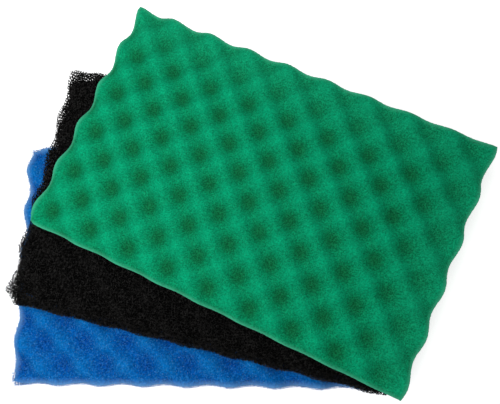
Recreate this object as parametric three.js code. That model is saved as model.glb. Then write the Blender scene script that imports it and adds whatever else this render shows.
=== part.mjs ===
// A pond filter's sponge set: three sheets of convoluted ("egg-crate") open-cell foam, fine, coarse and
// medium, cut to one size and stacked in a fan. Millimetres and degrees, +Z up, +X along the bottom
// sheet's length. The origin is under the middle of the stack.
import * as THREE from 'three';

// Driving dimensions of one sheet
const SHEET_LENGTH = 431.8; // 17 inches
const SHEET_WIDTH = 279.4; // 11 inches
const PEAK_THICKNESS = 25; // from the flat base to the top of a bump
const RELIEF = 12.8; // from the top of a bump down to the bottom of a dimple
const PITCH_LONG = 48.5; // one bump and one dimple, along the length
const PITCH_WIDE = 50.8; // one bump and one dimple, across the width

const STEPS_PER_PITCH = 5; // facets on one bump and one dimple
const STACK_GAP = 0.3; // air between the bumps of one sheet and the base of the next

// The sheets from the bottom up. corner is where the near right corner lies, from the bottom sheet's own
// corner. turn is the sheet's turn about that corner. skew is the angle that its bump pattern runs off its
// cut edges, and start is the place in the pattern, in pitches, where its near left corner was cut.
const SHEETS = [
  {
    name: 'blue_medium_foam',
    corner: [0, 0],
    turn: 0,
    skew: 1.05,
    start: [0.79, 0.59],
    colour: 0x2070c8,
  },
  {
    name: 'black_coarse_foam',
    corner: [-14.5, -1.8],
    turn: -12.85,
    skew: 0.86,
    start: [0.57, 0.67],
    colour: 0x141414,
  },
  {
    name: 'green_fine_foam',
    corner: [-10.4, 1.6],
    turn: -24.9,
    skew: -0.95,
    start: [0.62, 0.58],
    colour: 0x0a9c68,
  },
];

// The sheet's thickness at a point of it, along and across from its near left corner.
function thicknessAt(along, across, sheet) {
  const skew = THREE.MathUtils.degToRad(sheet.skew);
  const patternLong = (along * Math.cos(skew) + across * Math.sin(skew)) / PITCH_LONG + sheet.start[0];
  const patternWide = (across * Math.cos(skew) - along * Math.sin(skew)) / PITCH_WIDE + sheet.start[1];
  const wave = Math.cos(2 * Math.PI * patternLong) * Math.cos(2 * Math.PI * patternWide);
  return PEAK_THICKNESS - RELIEF / 2 - (RELIEF / 2) * wave;
}

// The grid's points around its rim, once each, counterclockwise from the near left corner.
function rimIndices(columns, rows) {
  const row = columns + 1;
  const rim = [];
  for (let i = 0; i < columns; i++) rim.push(i);
  for (let j = 0; j < rows; j++) rim.push(j * row + columns);
  for (let i = columns; i > 0; i--) rim.push(rows * row + i);
  for (let j = rows; j > 0; j--) rim.push(j * row);
  return rim;
}

// One closed body: the bumpy top as a grid, four cut walls, and a flat base. It lies with its near right
// corner at the origin, so that it turns about that corner.
function sheetGeometry(sheet) {
  const columns = Math.round((SHEET_LENGTH / PITCH_LONG) * STEPS_PER_PITCH);
  const rows = Math.round((SHEET_WIDTH / PITCH_WIDE) * STEPS_PER_PITCH);
  const points = [];
  const triangles = [];

  for (let j = 0; j <= rows; j++) {
    for (let i = 0; i <= columns; i++) {
      const along = (SHEET_LENGTH * i) / columns;
      const across = (SHEET_WIDTH * j) / rows;
      points.push(along - SHEET_LENGTH, across, thicknessAt(along, across, sheet));
    }
  }
  for (let j = 0; j < rows; j++) {
    for (let i = 0; i < columns; i++) {
      const a = j * (columns + 1) + i;
      const b = a + columns + 1;
      triangles.push(a, a + 1, b + 1, a, b + 1, b);
    }
  }

  const rim = rimIndices(columns, rows);
  const firstBase = points.length / 3;
  for (const index of rim) points.push(points[3 * index], points[3 * index + 1], 0);
  const baseMiddle = points.length / 3;
  points.push(-SHEET_LENGTH / 2, SHEET_WIDTH / 2, 0);
  rim.forEach((top, k) => {
    const next = (k + 1) % rim.length;
    triangles.push(top, firstBase + k, firstBase + next);
    triangles.push(top, firstBase + next, rim[next]);
    triangles.push(baseMiddle, firstBase + next, firstBase + k);
  });

  const geometry = new THREE.BufferGeometry();
  geometry.setAttribute('position', new THREE.Float32BufferAttribute(points, 3));
  geometry.setIndex(triangles);
  geometry.computeVertexNormals();
  return geometry;
}

function foamMaterial(colour) {
  return new THREE.MeshStandardMaterial({ color: colour, roughness: 1, metalness: 0 });
}

const stack = new THREE.Group();
SHEETS.forEach((sheet, level) => {
  const mesh = new THREE.Mesh(sheetGeometry(sheet), foamMaterial(sheet.colour));
  mesh.name = sheet.name;
  mesh.position.set(sheet.corner[0], sheet.corner[1], level * (PEAK_THICKNESS + STACK_GAP));
  mesh.rotation.z = THREE.MathUtils.degToRad(sheet.turn);
  stack.add(mesh);
});

const middle = new THREE.Box3().setFromObject(stack, true).getCenter(new THREE.Vector3());
stack.position.set(-middle.x, -middle.y, 0);
stack.updateMatrixWorld(true);

export default stack;
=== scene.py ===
"""Looks for the pond filter sponge set: three convoluted foam sheets, fanned in a stack.

Each sheet is rebuilt as foam around its CAD solid. The fine green and the medium blue sheets are closed
skins with every pore pressed into them. The coarse black sheet is a real network of strands, one cell deep
over its bumpy top and wide open along its cut edges, around a dark core. The blue sheet has a finer network
along its cut edges.
"""

import itertools
import math

import bpy
import numpy as np
from mathutils import Matrix, Vector


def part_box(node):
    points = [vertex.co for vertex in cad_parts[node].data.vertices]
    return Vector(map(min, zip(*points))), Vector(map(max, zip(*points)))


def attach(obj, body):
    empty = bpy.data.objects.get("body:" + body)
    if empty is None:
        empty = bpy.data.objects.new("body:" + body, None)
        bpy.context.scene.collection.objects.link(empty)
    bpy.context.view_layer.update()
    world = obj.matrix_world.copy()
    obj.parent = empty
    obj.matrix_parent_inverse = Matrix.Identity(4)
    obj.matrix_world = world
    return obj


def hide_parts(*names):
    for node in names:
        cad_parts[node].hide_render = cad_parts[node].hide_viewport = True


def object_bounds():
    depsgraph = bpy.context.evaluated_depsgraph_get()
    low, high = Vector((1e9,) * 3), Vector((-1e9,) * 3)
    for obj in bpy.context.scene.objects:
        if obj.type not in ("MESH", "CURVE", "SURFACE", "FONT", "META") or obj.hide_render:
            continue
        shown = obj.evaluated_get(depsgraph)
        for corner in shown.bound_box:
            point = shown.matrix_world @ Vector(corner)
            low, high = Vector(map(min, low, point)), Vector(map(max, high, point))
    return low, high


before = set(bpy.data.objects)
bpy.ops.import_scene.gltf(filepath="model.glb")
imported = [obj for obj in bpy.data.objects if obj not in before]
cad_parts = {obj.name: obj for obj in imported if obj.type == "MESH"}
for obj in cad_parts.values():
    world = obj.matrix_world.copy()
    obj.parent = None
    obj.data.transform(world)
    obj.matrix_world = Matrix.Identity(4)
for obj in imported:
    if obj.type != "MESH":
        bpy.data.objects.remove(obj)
cad_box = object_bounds()

MM = 0.001

# The sheets' size, from the one that lies square in the frame
blue_low, blue_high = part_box("blue_medium_foam")
LENGTH = blue_high.x - blue_low.x
WIDTH = blue_high.y - blue_low.y
PEAK = 25 * MM
RELIEF = 12.8 * MM
PITCH_LONG = 48.5 * MM
PITCH_WIDE = 50.8 * MM

# The turn of each sheet about its near right corner, how far its bumps run off its cut edges, and the place
# in the bump pattern, in pitches, of its near left corner: they are the ones that the CAD solids have.
# ridge is how much more its bumps join up along one diagonal than along the other. lit_below is how far in
# from its far and right edges its colour is painted paler, as painted light from the table coming up through
# it where it hangs over the sheet below.
# Foam isn't cut quite square, so each sheet also has how far its near left and far left corners are blunted,
# and how far its near left, near right, far left and far right corners are off, in millimetres along and
# across.
SHEETS = {
    "blue": {
        "node": "blue_medium_foam",
        "turn": 0.0,
        "skew": 1.05,
        "start": (0.79, 0.59),
        "ridge": 0.3,
        "lit_below": 1 * MM,
        "corner_cuts": (6 * MM, 2 * MM),
        "corners": ((-3.0, -1.0), (0.0, -1.0), (-3.0, 1.5), (0.0, 0.0)),
    },
    "black": {
        "node": "black_coarse_foam",
        "turn": -12.85,
        "skew": 0.86,
        "start": (0.57, 0.67),
        "ridge": 0.2,
        "lit_below": 1 * MM,
        "corner_cuts": (12 * MM, 5 * MM),
        "corners": ((-1.0, 0.0), (0.0, 0.0), (-2.5, 8.0), (0.0, 0.0)),
    },
    "green": {
        "node": "green_fine_foam",
        "turn": -24.9,
        "skew": -0.95,
        "start": (0.62, 0.58),
        "ridge": 0.15,
        "lit_below": 62 * MM,
        "corner_cuts": (3 * MM, 2 * MM),
        "corners": ((0.0, 0.0), (2.0, 0.5), (3.0, 0.0), (0.5, 0.5)),
    },
}


# ---------------------------------------------------------------- places


def off_square(sheet, points):
    """How far each point moves because the sheet isn't cut quite square."""
    u = (points[:, 0] / LENGTH)[:, None]
    v = (points[:, 1] / WIDTH)[:, None]
    near_left, near_right, far_left, far_right = np.array(sheet["corners"]) * MM
    near = near_left * (1 - u) + near_right * u
    far = far_left * (1 - u) + far_right * u
    return near * (1 - v) + far * v


def to_frame(sheet, points):
    """Points along, across and above a sheet's near left corner, in the row frame."""
    low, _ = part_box(sheet["node"])
    turn = math.radians(sheet["turn"])
    moved = points[:, :2] + off_square(sheet, points)
    along = moved[:, 0] - LENGTH
    across = moved[:, 1]
    corner_x = low.x + LENGTH * math.cos(turn)
    placed = np.empty_like(points)
    placed[:, 0] = corner_x + along * math.cos(turn) - across * math.sin(turn)
    placed[:, 1] = low.y + along * math.sin(turn) + across * math.cos(turn)
    placed[:, 2] = low.z + points[:, 2]
    return placed


def bump_wave(sheet, along, across):
    """From -1 at the bottom of a dimple to 1 at the top of a bump."""
    skew = math.radians(sheet["skew"])
    start_long, start_wide = sheet["start"]
    long_turns = (along * math.cos(skew) + across * math.sin(skew)) / PITCH_LONG + start_long
    wide_turns = (across * math.cos(skew) - along * math.sin(skew)) / PITCH_WIDE + start_wide
    one_way = np.cos(2 * np.pi * (long_turns + wide_turns))
    other_way = np.cos(2 * np.pi * (long_turns - wide_turns))
    return -((1 + sheet["ridge"]) * one_way + (1 - sheet["ridge"]) * other_way) / 2


def thickness(sheet, along, across):
    """The sheet's thickness at each point of it."""
    return PEAK - RELIEF / 2 + RELIEF / 2 * bump_wave(sheet, along, across)


def depth_below_bumps(sheet, points):
    """How far each point is under the bumpy top."""
    return thickness(sheet, points[:, 0], points[:, 1]) - points[:, 2]


def edge_distance(sheet, points):
    """How far each point is in from the cut edges, or from the cuts across the two left corners."""
    along, across = points[:, 0], points[:, 1]
    near_cut, far_cut = sheet["corner_cuts"]
    near_corner = (along + across - near_cut) / math.sqrt(2)
    far_corner = (along + WIDTH - across - far_cut) / math.sqrt(2)
    return np.minimum.reduce([along, LENGTH - along, across, WIDTH - across, near_corner, far_corner])


def depth_inside(sheet, points):
    """How far each point is inside the sheet, negative outside."""
    below = depth_below_bumps(sheet, points)
    return np.minimum.reduce([below, points[:, 2], edge_distance(sheet, points)])


# ---------------------------------------------------------------- chance that repeats

OFFSETS = np.random.default_rng(11).uniform(-1, 1, (8192, 3))
HASH_FACTORS = (73856093, 19349663, 83492791)
HASH_SHIFT = 13
PORE_SCATTER = 0.42  # how far a pore's middle may stray from its cell's middle, in cells


def offsets_at(cells):
    """A fixed random offset, each part from -1 to 1, for every whole-number cell."""
    mixed = np.zeros(cells.shape[0], np.int64)
    for axis, factor in enumerate(HASH_FACTORS):
        mixed ^= cells[:, axis].astype(np.int64) * factor
    return OFFSETS[(mixed ^ (mixed >> HASH_SHIFT)) & (len(OFFSETS) - 1)]


def offsets_near(points, size):
    """The fixed random offset of the cell, of this size, that each point is in."""
    return offsets_at(np.floor(points / size).astype(np.int64))


def nearest_pore(points, size):
    """How far each point is from the middle of the nearest of a field of scattered pores, in pores."""
    scaled = points / size
    home = np.floor(scaled).astype(np.int64)
    best = np.full(len(points), np.inf)
    for step in itertools.product((-1, 0, 1), repeat=3):
        cell = home + np.array(step)
        middle = cell + 0.5 + PORE_SCATTER * offsets_at(cell)
        best = np.minimum(best, ((scaled - middle) ** 2).sum(1))
    return np.sqrt(best)


# ---------------------------------------------------------------- skins

BLUNT_REACH = 3  # how many times its own size a corner's cut reaches along the edges
PORE_RADIUS = 0.62  # of a pore's size
FUZZ_SIZE = 0.35  # how wide the skin's roughness is, in pores
RIM_DEPTH = 9 * MM  # how far down the cut walls the painted light through the rim reaches
MOST_FROM_BELOW = 0.65  # the share of the painted light from below in a sheet's colour right at its edge


def new_mesh_object(name, points, faces):
    """One mesh object from points and faces that all have the same number of corners."""
    corners = faces.shape[1]
    mesh = bpy.data.meshes.new(name)
    mesh.vertices.add(len(points))
    mesh.vertices.foreach_set("co", points.astype(np.float32).ravel())
    mesh.loops.add(faces.size)
    mesh.loops.foreach_set("vertex_index", faces.astype(np.int32).ravel())
    mesh.polygons.add(len(faces))
    mesh.polygons.foreach_set("loop_start", np.arange(0, faces.size, corners, dtype=np.int32))
    mesh.polygons.foreach_set("loop_total", np.full(len(faces), corners, np.int32))
    mesh.update(calc_edges=True)
    obj = bpy.data.objects.new(name, mesh)
    bpy.context.scene.collection.objects.link(obj)
    return obj


def store(obj, name, values):
    """Keeps one number for each point of a mesh, for its material to read."""
    layer = obj.data.attributes.new(name, "FLOAT", "POINT")
    layer.data.foreach_set("value", values.astype(np.float32))


def rim_of(columns, rows):
    """The grid's points around its rim, once each, counterclockwise from the near left corner."""
    row = columns + 1
    near = np.arange(columns)
    right = np.arange(rows) * row + columns
    far = rows * row + np.arange(columns, 0, -1)
    left = np.arange(rows, 0, -1) * row
    return np.concatenate([near, right, far, left])


def blunted(sheet, along, across, inset):
    """Pulls the points near the two left corners in, half along and half across, to blunt each corner."""
    near_cut, far_cut = sheet["corner_cuts"]
    near_pull = np.clip(near_cut - (along + across - 2 * inset) / BLUNT_REACH, 0, None) / 2
    far_pull = np.clip(far_cut - (along + WIDTH - across - 2 * inset) / BLUNT_REACH, 0, None) / 2
    return along + near_pull + far_pull, across + near_pull - far_pull


def closed_sheet(sheet, step, levels, inset, lowered):
    """A closed skin in the sheet's own place: a bumpy top, a flat base and walls of some levels between."""
    columns = round((LENGTH - 2 * inset) / step)
    rows = round((WIDTH - 2 * inset) / step)
    along, across = np.meshgrid(
        np.linspace(inset, LENGTH - inset, columns + 1),
        np.linspace(inset, WIDTH - inset, rows + 1),
    )
    along, across = blunted(sheet, along.ravel(), across.ravel(), inset)
    top_height = thickness(sheet, along, across) - lowered
    top = np.column_stack([along, across, top_height])
    bottom = np.column_stack([along, across, np.zeros(len(along))])
    rim = rim_of(columns, rows)
    rings = [top[rim] * (1 - k / levels) + bottom[rim] * (k / levels) for k in range(1, levels)]
    points = np.concatenate([top, bottom, *rings])

    first = (np.arange(rows)[:, None] * (columns + 1) + np.arange(columns)[None]).ravel()
    quads = np.column_stack([first, first + 1, first + columns + 2, first + columns + 1])
    count = len(top)
    faces = [quads, quads[:, ::-1] + count]
    between = [2 * count + k * len(rim) + np.arange(len(rim)) for k in range(levels - 1)]
    loops = [rim, *between, rim + count]
    for upper, lower in zip(loops[:-1], loops[1:]):
        faces.append(np.column_stack([upper, lower, np.roll(lower, -1), np.roll(upper, -1)]))
    return points, np.concatenate(faces)


def press_pores(obj, points, size, depth, fuzz):
    """Presses a pore into the skin wherever one opens, and roughens it."""
    mesh = obj.data
    normals = np.empty(len(mesh.vertices) * 3, np.float32)
    mesh.vertex_normals.foreach_get("vector", normals)
    normals = normals.reshape(-1, 3)
    pit = np.clip(1 - nearest_pore(points, size) / PORE_RADIUS, 0, 1)
    rough = offsets_near(points, FUZZ_SIZE * size)[:, 0]
    shift = -depth * pit + fuzz * rough
    moved = np.empty(len(mesh.vertices) * 3, np.float32)
    mesh.vertices.foreach_get("co", moved)
    moved = moved.reshape(-1, 3) + normals * shift[:, None]
    mesh.vertices.foreach_set("co", moved.ravel())
    return pit


def rim_light(sheet, points, width):
    """How much painted light through the foam's rim each point's colour gets, from 1 along the upper cut
    edges to 0 inside.
    """
    inward = np.clip(edge_distance(sheet, points) / width, 0, 1)
    down = np.clip(depth_below_bumps(sheet, points) / RIM_DEPTH, 0, 1)
    return (1 - inward) ** 2 * (1 - down)


def light_from_below(sheet, points):
    """How much painted light from below each point's colour gets, as light coming up through the foam, most
    at the far and right edges.
    """
    inward = np.minimum(LENGTH - points[:, 0], WIDTH - points[:, 1])
    return MOST_FROM_BELOW * np.clip(1 - inward / sheet["lit_below"], 0, 1)


def skin_piece(key, name, step, levels, pore, depth, fuzz, rim_width, inset=0.0, lowered=0.0):
    """A foam skin with its pores. Each point of it keeps how high on the bumps it is, how deep in a pore,
    and how much painted light its colour gets through the rim and from below."""
    sheet = SHEETS[key]
    points, faces = closed_sheet(sheet, step, levels, inset, lowered)
    obj = new_mesh_object(name, to_frame(sheet, points), faces)
    pit = press_pores(obj, points, pore, depth, fuzz)
    lowest = PEAK - RELIEF
    store(obj, "bump_height", np.clip((points[:, 2] + lowered - lowest) / RELIEF, 0, 1))
    store(obj, "pore_depth", pit)
    store(obj, "rim", rim_light(sheet, points, rim_width))
    store(obj, "from_below", light_from_below(sheet, points))
    obj.data.shade_smooth()
    return obj


# ---------------------------------------------------------------- strands

# A network of strands: the size of a cell, a strand's radius, and how deep under the bumps and in from the
# cut edges the network reaches
COARSE = {"cell": 3.1 * MM, "radius": 0.36 * MM, "top": 3.6 * MM, "edge": 9.5 * MM}
MEDIUM = {"cell": 2.7 * MM, "radius": 0.19 * MM, "top": 0.0, "edge": 2.6 * MM}
STRANDS_PER_PIECE = 24000

QUARTERS = 4  # the corners of the network lie on a grid of quarter cells
STRAY = 0.17  # how far a corner may stray by chance, in cells
WAVE_LENGTH = 9  # the length of the slow waves that bend the network, in cells
BEND_SIDEWAYS = 0.5  # how far they bend it along and across the sheet, in cells
BEND_UP = 0.4  # how far they bend it up and down, in cells
TILT_UP = 2  # how many times faster the wave that bends it across changes with height than along
TILT_ACROSS = 1.3  # how many times faster the wave that bends it up and down changes across than along
RISE = 1.85  # how much taller than wide the cells are, as foam's are in the direction that it rose in

HALVINGS = 7  # steps in the search for the place where a strand is cut
SHORTEST = 0.2 * MM  # a stub of a strand that is cut off shorter than this is left out
SIDES = 3  # of a strand
UPRIGHT = 0.8  # the upward part of a strand's direction from which it counts as upright
RADIUS_SPREAD = 0.25  # how much thicker or thinner than the rest a strand may be
CHANCE_SIZE = 0.1  # strands that start in one cube of this size, in cells, are equally thick and dark


def is_corner(point):
    """True for the points, in quarter cells, where four strands meet in a foam of truncated octahedra."""
    rest = [c % QUARTERS for c in point]
    return 0 in rest and 2 in rest and (1 in rest or 3 in rest)


def strands_of_one_cell():
    """The 24 strands that repeat with every cubic cell: where each starts and ends, in quarter cells."""
    strands = []
    for start in itertools.product(range(QUARTERS), repeat=3):
        for step in itertools.product((-1, 0, 1), repeat=3):
            end = tuple(a + b for a, b in zip(start, step))
            diagonal = sum(map(abs, step)) == 2
            if diagonal and step > (0, 0, 0) and is_corner(start) and is_corner(end):
                strands.append((start, end))
    return np.array(strands)


def corner_places(corners, cell):
    """The place of each corner: its quarter cells, moved by chance and bent by slow waves."""
    places = corners * (cell / QUARTERS) + offsets_at(corners) * (STRAY * cell)
    along, across, up = places.T
    wave = WAVE_LENGTH * cell / (2 * np.pi)
    bent = places.copy()
    bent[:, 0] += BEND_SIDEWAYS * cell * np.sin(across / wave + up / wave)
    bent[:, 1] += BEND_SIDEWAYS * cell * np.sin(along / wave - TILT_UP * up / wave)
    bent[:, 2] += BEND_UP * cell * np.sin(along / wave + TILT_ACROSS * across / wave)
    bent[:, 2] *= RISE
    return bent


def trimmed(sheet, inner, outer):
    """Where a strand from a point inside to one outside is cut by the sheet's surface."""
    low, high = np.zeros(len(inner)), np.ones(len(inner))
    for _ in range(HALVINGS):
        middle = (low + high) / 2
        inside = depth_inside(sheet, inner + (outer - inner) * middle[:, None]) > 0
        low = np.where(inside, middle, low)
        high = np.where(inside, high, middle)
    return inner + (outer - inner) * low[:, None]


def cells_in_row(row, cell):
    """The corners of all the cells in one row of them across the sheet, in quarter cells."""
    cells = [
        np.array([row]),
        np.arange(-1, math.ceil(WIDTH / cell) + 1),
        np.arange(-1, math.ceil(PEAK / (RISE * cell)) + 1),
    ]
    return np.stack(np.meshgrid(*cells, indexing="ij"), -1).reshape(-1, 3) * QUARTERS


def strands_in_row(sheet, network, row):
    """The strands of one row of a network's cells, as their ends: one inside the sheet, then the other."""
    cell = network["cell"]
    pattern = strands_of_one_cell()
    cells = cells_in_row(row, cell)[:, None]
    starts = corner_places((cells + pattern[None, :, 0]).reshape(-1, 3), cell)
    ends = corner_places((cells + pattern[None, :, 1]).reshape(-1, 3), cell)
    middle = (starts + ends) / 2
    near_top = depth_below_bumps(sheet, middle) < network["top"]
    through_base = middle[:, 2] < 0
    near_edge = edge_distance(sheet, middle) < network["edge"]
    start_in = depth_inside(sheet, starts) > 0
    end_in = depth_inside(sheet, ends) > 0
    kept = (near_top | through_base | near_edge) & (start_in | end_in)
    starts, ends, start_in, end_in = starts[kept], ends[kept], start_in[kept], end_in[kept]
    inner = np.where(start_in[:, None], starts, ends)
    outer = np.where(start_in[:, None], ends, starts)
    crossing = ~(start_in & end_in)
    outer[crossing] = trimmed(sheet, inner[crossing], outer[crossing])
    whole = np.linalg.norm(outer - inner, axis=1) > SHORTEST
    return inner[whole], outer[whole]


def strand_mesh(starts, ends, radius):
    """A closed three-sided bar along each strand, in points and triangles."""
    along = ends - starts
    along /= np.linalg.norm(along, axis=1, keepdims=True)
    helper = np.where(np.abs(along[:, 2:3]) < UPRIGHT, [[0.0, 0.0, 1.0]], [[1.0, 0.0, 0.0]])
    side = np.cross(along, helper)
    side /= np.linalg.norm(side, axis=1, keepdims=True)
    other = np.cross(along, side)
    angles = [2 * math.pi * k / SIDES for k in range(SIDES)]
    ring = [radius[:, None] * (math.cos(a) * side + math.sin(a) * other) for a in angles]
    points = np.stack([starts + r for r in ring] + [ends + r for r in ring], 1).reshape(-1, 3)
    bar = np.array(
        [(0, 1, 4), (0, 4, 3), (1, 2, 5), (1, 5, 4), (2, 0, 3), (2, 3, 5), (0, 2, 1), (3, 4, 5)]
    )
    faces = (np.arange(len(starts))[:, None, None] * 2 * SIDES + bar[None]).reshape(-1, 3)
    return points, faces


def strand_pieces(key, name, network):
    """A sheet's strands, in pieces that each hold about the same number of them."""
    sheet = SHEETS[key]
    rows = range(-1, math.ceil(LENGTH / network["cell"]) + 1)
    found = [strands_in_row(sheet, network, row) for row in rows]
    starts, ends = (np.concatenate(part) for part in zip(*found))
    chance = offsets_near(starts, CHANCE_SIZE * network["cell"])[:, 1]
    radius = network["radius"] * (1 + RADIUS_SPREAD * chance)
    pieces = []
    for part in np.array_split(np.arange(len(starts)), math.ceil(len(starts) / STRANDS_PER_PIECE)):
        points, faces = strand_mesh(starts[part], ends[part], radius[part])
        obj = new_mesh_object(f"{name}_{len(pieces) + 1}", to_frame(sheet, points), faces)
        store(obj, "strand_tone", np.repeat(chance[part], 2 * SIDES))
        pieces.append(obj)
    return pieces


# ---------------------------------------------------------------- materials


class Nodes:
    """Adds nodes to one material and links them."""

    def __init__(self, name):
        self.material = bpy.data.materials.new(name)
        self.material.use_nodes = True
        self.tree = self.material.node_tree
        self.shader = self.tree.nodes["Principled BSDF"]

    def add(self, kind, inputs=None, **settings):
        """A node with its settings, and a socket or a value for each of its inputs."""
        node = self.tree.nodes.new(kind)
        for key, value in settings.items():
            setattr(node, key, value)
        for key, value in (inputs or {}).items():
            if isinstance(value, bpy.types.NodeSocket):
                self.tree.links.new(value, node.inputs[key])
            else:
                node.inputs[key].default_value = value
        return node

    def place(self):
        return self.add("ShaderNodeTexCoord").outputs["Object"]

    def attribute(self, name):
        return self.add("ShaderNodeAttribute", attribute_name=name).outputs["Fac"]

    def math(self, operation, a, b):
        return self.add("ShaderNodeMath", {0: a, 1: b}, operation=operation).outputs[0]

    def scaled(self, value, factor, offset):
        """A value times a factor, plus an offset."""
        inputs = {0: value, 1: factor, 2: offset}
        return self.add("ShaderNodeMath", inputs, operation="MULTIPLY_ADD").outputs[0]

    def ramp(self, factor, stops):
        """A ramp through (position, colour) stops."""
        node = self.add("ShaderNodeValToRGB", {"Fac": factor})
        node.color_ramp.interpolation = "LINEAR"
        while len(node.color_ramp.elements) < len(stops):
            node.color_ramp.elements.new(0.5)
        for element, (position, colour) in zip(node.color_ramp.elements, stops):
            element.position = position
            element.color = (*colour, 1)
        return node.outputs["Color"]

    def mix(self, factor, a, b, blend="MIX"):
        """Two colours mixed or blended. b may be a plain (red, green, blue)."""
        if not isinstance(b, bpy.types.NodeSocket):
            b = (*b, 1)
        colour_a, colour_b, colour_out = 6, 7, 2
        inputs = {0: factor, colour_a: a, colour_b: b}
        node = self.add("ShaderNodeMix", inputs, data_type="RGBA", blend_type=blend)
        return node.outputs[colour_out]

    def noise(self, scale, detail):
        inputs = {"Vector": self.place(), "Scale": scale, "Detail": detail, "Roughness": 0.55}
        return self.add("ShaderNodeTexNoise", inputs).outputs["Fac"]

    def pores(self, scale):
        inputs = {"Vector": self.place(), "Scale": scale}
        return self.add("ShaderNodeTexVoronoi", inputs).outputs["Distance"]

    def bump(self, height, distance, strength):
        inputs = {"Height": height, "Distance": distance, "Strength": strength}
        normal = self.add("ShaderNodeBump", inputs).outputs["Normal"]
        self.tree.links.new(normal, self.shader.inputs["Normal"])

    def colour(self, socket):
        self.tree.links.new(socket, self.shader.inputs["Base Color"])

    def roughness(self, least, spread, scale):
        """Roughness that varies over the surface, in patches of a scale."""
        patches = self.scaled(self.noise(scale, detail=2), factor=spread, offset=least)
        self.tree.links.new(patches, self.shader.inputs["Roughness"])

    def set(self, **values):
        for key, value in values.items():
            self.shader.inputs[key.replace("_", " ")].default_value = value


def grey(level):
    return (level, level, level)


def foam_material(name, stops, pore_scale, grain, glint, rim, lit):
    """Matte foam with grain at the pores' size, darkest in its dimples and pores by painted shade, with
    painted glints, and paler by painted light along its cut rim and from below.
    """
    n = Nodes(name)
    height = n.attribute("bump_height")
    blotches = n.scaled(n.noise(22, detail=4), factor=0.1, offset=-0.05)
    # Painted shade: the colour darkens from the bump tops down into the dimples.
    shaded_by_height = n.ramp(n.math("ADD", height, blotches), stops)
    # Painted light from below: paler towards the far and right edges.
    base = n.mix(n.attribute("from_below"), shaded_by_height, lit)
    # Painted shade in the pores: darker where a pore is pressed into the skin.
    pore_shade_colour = tuple(c * 0.4 for c in stops[1][1])
    pore_shaded = n.mix(n.math("MULTIPLY", n.attribute("pore_depth"), 0.7), base, pore_shade_colour)
    cells = n.pores(pore_scale)
    fine = n.ramp(cells, [(0.0, grey(1 - grain)), (0.75, grey(1 + grain * 0.6))])
    grained = n.mix(1.0, pore_shaded, fine, "MULTIPLY")
    more_when_low = n.scaled(height, factor=-0.6, offset=1.0)
    textured = n.mix(more_when_low, pore_shaded, grained)
    # Painted glints: small bright specks added to the colour.
    painted_glints = n.ramp(n.noise(pore_scale, detail=2), [(0.5, grey(0.0)), (0.75, glint)])
    sparkling = n.mix(1.0, textured, painted_glints, "ADD")
    # Painted light through the cut rim: paler along the upper cut edges.
    n.colour(n.mix(n.attribute("rim"), sparkling, rim))
    n.bump(cells, distance=0.35 * MM, strength=0.6)
    n.roughness(least=0.82, spread=0.15, scale=400)
    n.set(Specular_IOR_Level=0.02, Sheen_Weight=0.05, Sheen_Roughness=0.6)
    n.set(Sheen_Tint=(*stops[-1][1], 1))
    return n.material


def strand_material(name, dark, light, gloss):
    """Strands with a slight gloss, in tones that change from one to the next and from cell to cell."""
    n = Nodes(name)
    tone = n.scaled(n.attribute("strand_tone"), factor=0.07, offset=0.0)
    level = n.math("ADD", tone, n.noise(360, detail=1))
    n.colour(n.ramp(level, [(0.42, dark), (0.68, light)]))
    n.roughness(least=0.3, spread=0.3, scale=900)
    n.set(Specular_IOR_Level=gloss)
    return n.material


def core_material():
    """The dark inside of the coarse foam: its own black, made darker still as painted shade of the deep
    strands that little light reaches.
    """
    n = Nodes("black_core")
    cells = n.pores(330)
    n.colour(n.ramp(cells, [(0.1, grey(0.0005)), (0.8, grey(0.004))]))
    n.bump(cells, distance=1.2 * MM, strength=1.0)
    n.roughness(least=0.85, spread=0.1, scale=400)
    n.set(Specular_IOR_Level=0.02)
    return n.material


# ---------------------------------------------------------------- pieces


def settle(obj, key, material):
    """Gives a piece its material, and lets it ride on its sheet's body and stand for its CAD solid."""
    obj.data.materials.clear()
    obj.data.materials.append(material)
    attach(obj, f"{key}_sheet")
    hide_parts(SHEETS[key]["node"])


def make_green():
    foam = skin_piece(
        "green",
        "green_foam_sheet",
        step=1.0 * MM,
        levels=18,
        pore=0.9 * MM,
        depth=0.35 * MM,
        fuzz=0.12 * MM,
        rim_width=5 * MM,
    )
    # The colour at each height on the bumps, darker towards the dimples' bottoms as painted shade.
    stops = [
        (0.0, (0.0035, 0.118, 0.04)),
        (0.14, (0.003, 0.15, 0.056)),
        (0.36, (0.002, 0.226, 0.095)),
        (0.7, (0.002, 0.29, 0.133)),
        (1.0, (0.0015, 0.34, 0.158)),
    ]
    material = foam_material(
        "green_fine_foam",
        stops,
        pore_scale=700,
        grain=0.7,
        glint=(0.006, 0.05, 0.026),
        rim=(0.06, 0.41, 0.24),
        lit=(0.005, 0.305, 0.14),
    )
    settle(foam, "green", material)


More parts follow.
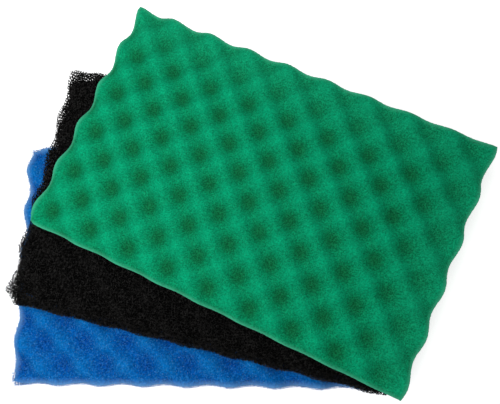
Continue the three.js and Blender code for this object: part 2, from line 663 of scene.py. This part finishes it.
def make_blue():
    foam = skin_piece(
        "blue",
        "blue_foam_sheet",
        step=1.0 * MM,
        levels=18,
        pore=1.6 * MM,
        depth=0.7 * MM,
        fuzz=0.2 * MM,
        rim_width=10 * MM,
        inset=2.0 * MM,
    )
    # The colour at each height on the bumps, darker towards the dimples' bottoms as painted shade.
    bump_top = (0.002, 0.143, 0.465)
    stops = [
        (0.0, (0.0008, 0.055, 0.275)),
        (0.36, (0.0008, 0.092, 0.368)),
        (1.0, bump_top),
    ]
    material = foam_material(
        "blue_medium_foam",
        stops,
        pore_scale=450,
        grain=0.6,
        glint=(0.02, 0.1, 0.15),
        rim=(0.2, 0.42, 0.72),
        lit=bump_top,
    )
    settle(foam, "blue", material)
    # The rim's strands are painted paler than the skin, as painted light through the cut rim; their tones
    # also differ at random.
    strands = strand_material("blue_strands", dark=(0.05, 0.22, 0.58), light=(0.24, 0.44, 0.78), gloss=0.2)
    for piece in strand_pieces("blue", "blue_foam_rim", MEDIUM):
        settle(piece, "blue", strands)


def make_black():
    core = skin_piece(
        "black",
        "black_foam_core",
        step=1.6 * MM,
        levels=10,
        pore=3.4 * MM,
        depth=1.0 * MM,
        fuzz=0.2 * MM,
        rim_width=8 * MM,
        inset=COARSE["edge"] - 1 * MM,
        lowered=2.9 * MM,
    )
    settle(core, "black", core_material())
    strands = strand_material("black_strands", dark=grey(0.0004), light=(0.036, 0.035, 0.034), gloss=0.05)
    for piece in strand_pieces("black", "black_foam_strands", COARSE):
        settle(piece, "black", strands)


# ---------------------------------------------------------------- stage

FLOOR_REACH = 6.0  # metres from its middle to each side
FLOOR_GLOW = 0.55
STUDIO_LIGHT = 0.3
WHITE = (1, 1, 1, 1)

KEY_PLACE = Vector((-0.2, -0.06, 0.85))
KEY_TARGET = Vector((-0.75, 0.2, 0))
KEY_SIZE = 0.7
KEY_POWER = 7.6

CAMERA_PLACE = Vector((33.2, -88.0, 552.3)) * MM
CAMERA_AZIMUTH = 21.28
CAMERA_ELEVATION = 78.97
CAMERA_ROLL = 21.93
CAMERA_SENSOR = 36
CAMERA_LENS = 32.6
CAMERA_SHIFT = (0.0198, -0.0301)


def make_camera():
    """Looks nearly straight down, from where the photographer stood."""
    data = bpy.data.cameras.new("camera")
    data.sensor_width = CAMERA_SENSOR
    data.lens = CAMERA_LENS
    data.shift_x, data.shift_y = CAMERA_SHIFT
    data.clip_start = 10 * MM
    camera = bpy.data.objects.new("camera", data)
    bpy.context.scene.collection.objects.link(camera)
    turn = Matrix.Rotation(math.radians(CAMERA_AZIMUTH), 4, "Z")
    tilt = Matrix.Rotation(math.radians(90 - CAMERA_ELEVATION), 4, "X")
    roll = Matrix.Rotation(math.radians(-CAMERA_ROLL), 4, "Z")
    camera.matrix_world = Matrix.Translation(CAMERA_PLACE) @ turn @ tilt @ roll
    bpy.context.scene.camera = camera


def floor_material():
    """A white table that glows a little, so that the shadows on it stay faint."""
    n = Nodes("floor")
    n.colour(n.ramp(n.noise(3, detail=2), [(0.3, grey(0.93)), (0.7, grey(0.95))]))
    n.set(Roughness=0.9, Specular_IOR_Level=0.1)
    n.set(Emission_Color=WHITE, Emission_Strength=FLOOR_GLOW)
    return n.material


def make_floor():
    low, _ = cad_box
    corners = np.array([(-1, -1), (1, -1), (1, 1), (-1, 1)]) * FLOOR_REACH
    points = np.column_stack([corners, np.full(len(corners), low.z)])
    floor = new_mesh_object("floor", points, np.array([[0, 1, 2, 3]]))
    floor.data.materials.append(floor_material())


def make_studio():
    """A soft white studio all round, with a white backdrop where it is seen directly."""
    world = bpy.data.worlds.new("studio")
    world.use_nodes = True
    nodes, links = world.node_tree.nodes, world.node_tree.links
    studio = nodes["Background"]
    studio.inputs["Color"].default_value = WHITE
    studio.inputs["Strength"].default_value = STUDIO_LIGHT
    backdrop = nodes.new("ShaderNodeBackground")
    backdrop.inputs["Color"].default_value = WHITE
    seen = nodes.new("ShaderNodeLightPath").outputs["Is Camera Ray"]
    either = nodes.new("ShaderNodeMixShader")
    links.new(seen, either.inputs[0])
    links.new(studio.outputs[0], either.inputs[1])
    links.new(backdrop.outputs[0], either.inputs[2])
    links.new(either.outputs[0], nodes["World Output"].inputs["Surface"])
    bpy.context.scene.world = world
    bpy.context.scene.view_settings.view_transform = "Standard"


def make_key_light():
    """A large soft light above the sheets."""
    data = bpy.data.lights.new("key", "AREA")
    data.shape = "DISK"
    data.size = KEY_SIZE
    data.energy = KEY_POWER
    light = bpy.data.objects.new("key", data)
    bpy.context.scene.collection.objects.link(light)
    light.location = KEY_PLACE
    light.rotation_mode = "QUATERNION"
    light.rotation_quaternion = (KEY_TARGET - KEY_PLACE).to_track_quat("-Z", "Y")


make_camera()
make_studio()
make_key_light()
make_floor()
make_green()
make_blue()
make_black()
